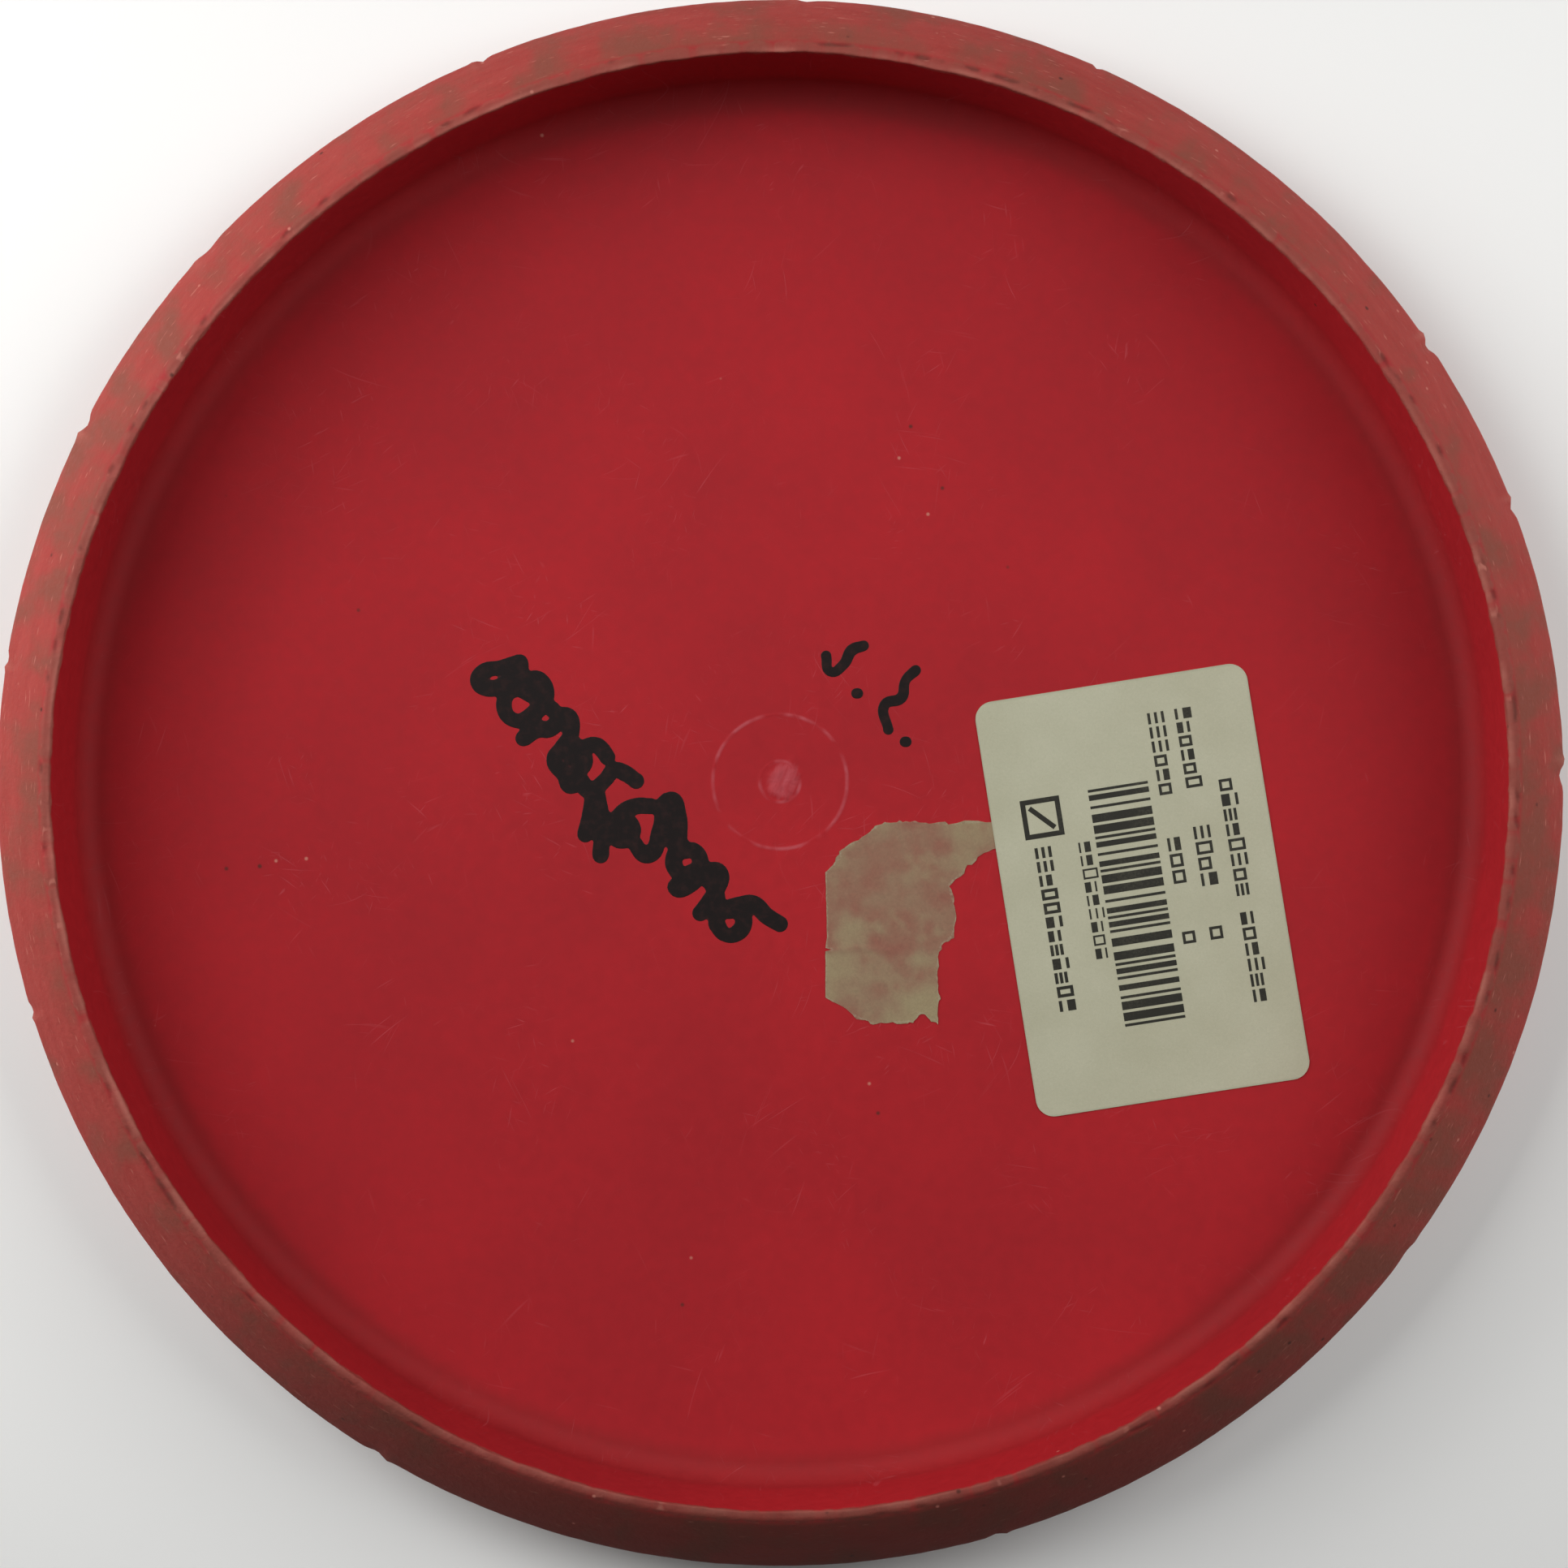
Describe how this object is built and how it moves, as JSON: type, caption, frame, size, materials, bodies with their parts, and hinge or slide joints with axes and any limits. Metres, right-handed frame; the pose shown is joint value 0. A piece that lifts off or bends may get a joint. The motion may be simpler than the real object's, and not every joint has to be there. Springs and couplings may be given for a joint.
{
  "type": "flying disc",
  "caption": "Flying disc for disc golf, a shallow putter lying hollow side up, with a price label, a torn older label and marker ink inside.",
  "frame": {"origin": "on the disc's axis, in the plane of the flight plate's flat outer face, which is the lowest point as it lies", "axes": "+Z along the disc's axis, out of the hollow; +Y is away from the reader who sees the price label on the right"},
  "size_m": [0.212, 0.212, 0.02],
  "materials": {
    "moulded_plastic": "red moulded polymer, satin, scuffed on the rim",
    "label_paper": "smooth coated paper",
    "print_ink": "matt thermal print",
    "torn_paper": "torn fibrous paper",
    "marker_ink": "dried marker ink"
  },
  "bodies": {
    "root": {"disc": "moulded_plastic", "price_label": "label_paper", "label_print": "print_ink", "old_label_remnant": "torn_paper", "marker_scribble": "marker_ink", "marker_squiggle": "marker_ink"}
  },
  "joints": []
}
